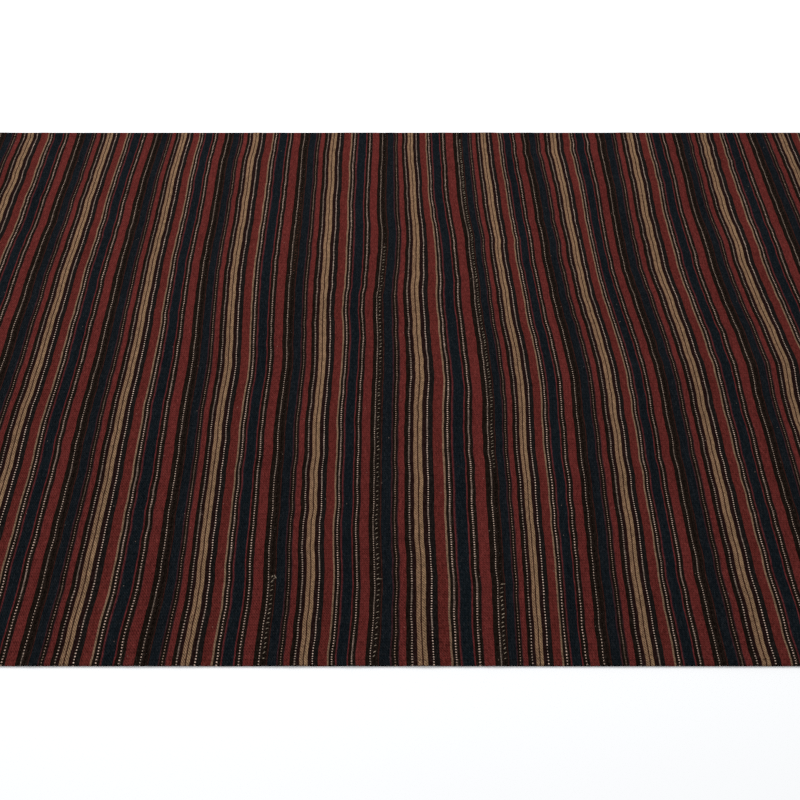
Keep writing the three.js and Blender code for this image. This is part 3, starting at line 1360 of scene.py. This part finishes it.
LOOSE_BITS = (
    LooseBit(x=4, y=-586, heading=-88, thread=Thread.PALE),
    LooseBit(x=-195, y=-592, heading=-60, thread=Thread.PALE),
    LooseBit(x=-196, y=-594, heading=35, thread=Thread.PALE),
    LooseBit(x=158, y=-335, heading=-50, thread=Thread.RUSSET),
    LooseBit(x=231, y=-606, heading=-75, thread=Thread.PALE),
)


class LooseBits:
    """The few bits of thread left lying on the cloth."""

    def build(self, lie: Lie, stitches: StitchTree) -> bpy.types.Object:
        """Lays the bits.

        Args:
            lie: How the cloth lies.
            stitches: The tree that makes stitches.

        Returns:
            All bits, as one piece.
        """
        x = np.array([bit.x for bit in LOOSE_BITS]) * MM
        y = np.array([bit.y for bit in LOOSE_BITS]) * MM
        heading = np.radians([bit.heading for bit in LOOSE_BITS])
        spots = lie.on_top(x, y)
        ahead = np.stack([-np.sin(heading), np.cos(heading), np.zeros(len(x))], -1) * MM
        path = np.stack([spots, spots + ahead], 1).reshape(-1, 3)
        pale = np.repeat([bit.thread.value for bit in LOOSE_BITS], 2)
        return stitches.sew("loose_bits", path, pale, LOOSE, 0, Run.IN_PAIRS)


class End(Enum):
    """The kilim's two ends, by the side of the ground that each lies on."""

    NEAR = -1
    FAR = 1


@dataclass(frozen=True)
class Hem:
    """The stitches that hold a turned end."""

    end: End
    left: float
    right: float
    from_edge: float = 11.0 * MM
    side_room: float = 5 * MM
    point_step: float = 6 * MM
    sunk: float = 0.2 * MM

    def build(self, lie: Lie, stitches: StitchTree) -> bpy.types.Object:
        """Sews the hem.

        Args:
            lie: How the cloth lies.
            stitches: The tree that makes stitches.

        Returns:
            The hem's stitches.
        """
        first, last = self.left + self.side_room, self.right - self.side_room
        x = np.linspace(first, last, round((last - first) / self.point_step))
        y = np.full_like(x, self.end.value * (lie.length / 2 - self.from_edge))
        path = lie.on_top(x, y, self.sunk)
        name = f"hem_{self.end.name.lower()}_sewing"
        return stitches.sew(name, path, np.zeros_like(x), HEMMING, self.end.value)


# The kilim and the studio

@dataclass(frozen=True)
class StripWidths:
    """A strip's widths to the left and right of its pale double stripe. Millimetres."""

    left: float
    right: float


STRIP_WIDTHS = (
    StripWidths(left=72, right=130),
    StripWidths(left=71, right=142),
    StripWidths(left=75, right=133),
    StripWidths(left=69, right=136.5),
    StripWidths(left=70, right=137.5),
    StripWidths(left=73, right=128),
    StripWidths(left=82.5, right=146),
    StripWidths(left=63, right=119.5),
    StripWidths(left=73.5, right=122.5),
    StripWidths(left=73.5, right=130),
    StripWidths(left=69, right=141.5),
    StripWidths(left=79, right=132),
)


class Kilim:
    """All strips side by side, and the thread that joins them."""

    def __init__(self, lie: Lie) -> None:
        """Places the strips and the seams between them.

        Args:
            lie: How the cloth lies.
        """
        self.lie = lie
        self.strips = []
        edge = -sum(strip.left + strip.right for strip in STRIP_WIDTHS) / 2 * MM
        for number, widths in enumerate(STRIP_WIDTHS, 1):
            strip = Strip(number, edge, widths.left * MM, widths.right * MM)
            self.strips.append(strip)
            edge = strip.right_seam
        self.seams = [Seam(strip.number, strip.right_seam) for strip in self.strips[:-1]]
        left, right = self.strips[0].left_seam, self.strips[-1].right_seam
        self.hems = [Hem(end, left, right) for end in End]

    def build(self) -> None:
        """Builds and dresses every piece."""
        wool = WovenWool().build()
        for strip in self.strips:
            strip.build(self.lie, wool)
        stitches = StitchTree(SewingThread().build())
        for seam in self.seams:
            seam.build(self.lie, stitches)
        for hem in self.hems:
            hem.build(self.lie, stitches)
        LooseBits().build(self.lie, stitches)


@dataclass(frozen=True)
class Studio:
    """A pale floor, soft light and a camera at standing height beyond the kilim's near end.

    Metres. The camera's look down and the softbox's tilt are in degrees, the lens and sensor in millimetres.
    """

    eye: Point = (0.0133, -1.4185, 1.587)
    looking_down: float = 51.8
    lens: float = 42.48
    sensor: float = 36.0
    aside: float = 0.02
    floor_side: float = 14.0
    floor_depth: float = 0.05 * MM
    sky: float = 0.76
    sky_color: Color = (0.96, 0.98, 1.0)
    softbox_watts: float = 112.0
    softbox_size: tuple[float, float] = (3.6, 2.0)
    softbox_place: Point = (-0.6, 1.9, 2.6)
    softbox_tilt: Point = (-36.0, -8.0, 0.0)

    def build(self) -> None:
        """Sets up the camera, the floor and the lights."""
        self._camera()
        self._floor()
        self._lights()

    def _camera(self) -> None:
        """Stands the camera where the kilim is seen from."""
        data = bpy.data.cameras.new("camera")
        data.lens = self.lens
        data.sensor_width = self.sensor
        data.shift_x = self.aside
        camera = bpy.data.objects.new("camera", data)
        camera.location = self.eye
        camera.rotation_euler = (math.radians(90 - self.looking_down), 0, 0)
        bpy.context.scene.collection.objects.link(camera)
        bpy.context.scene.camera = camera
        log.info("camera: %.0f mm above the ground", self.eye[2] / MM)

    def _floor(self) -> None:
        """Lays the floor just under the cloth."""
        half, depth = self.floor_side / 2, -self.floor_depth
        mesh = bpy.data.meshes.new(PALE_FLOOR)
        corners = [(-half, -half, depth), (half, -half, depth), (half, half, depth), (-half, half, depth)]
        mesh.from_pydata(corners, [], [(0, 1, 2, 3)])
        mesh.materials.append(PaleFloor().build())
        floor = bpy.data.objects.new(PALE_FLOOR, mesh)
        bpy.context.scene.collection.objects.link(floor)

    def _lights(self) -> None:
        """Hangs a wide soft light over the far end, in a pale room."""
        world = bpy.data.worlds.new("room")
        world.use_nodes = True
        background = world.node_tree.nodes["Background"]
        background.inputs["Color"].default_value = (*self.sky_color, 1.0)
        background.inputs["Strength"].default_value = self.sky
        bpy.context.scene.world = world
        data = bpy.data.lights.new("softbox", "AREA")
        data.shape = "RECTANGLE"
        data.size, data.size_y = self.softbox_size
        data.energy = self.softbox_watts
        light = bpy.data.objects.new("softbox", data)
        light.location = self.softbox_place
        light.rotation_euler = [math.radians(turn) for turn in self.softbox_tilt]
        bpy.context.scene.collection.objects.link(light)


def show_finest_detail() -> None:
    """Keeps the picture's colours plain, and its weave free of a smoothing that would wipe out the beads."""
    scene = bpy.context.scene
    scene.view_settings.view_transform = "Standard"
    scene.cycles.use_denoising = False


def main() -> None:
    """Builds the studio and the kilim, and notes both sizes."""
    logging.basicConfig(level=logging.INFO, format="%(message)s")
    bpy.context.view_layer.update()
    show_finest_detail()
    Studio().build()
    Kilim(Lie()).build()


if __name__ == "__main__":
    main()
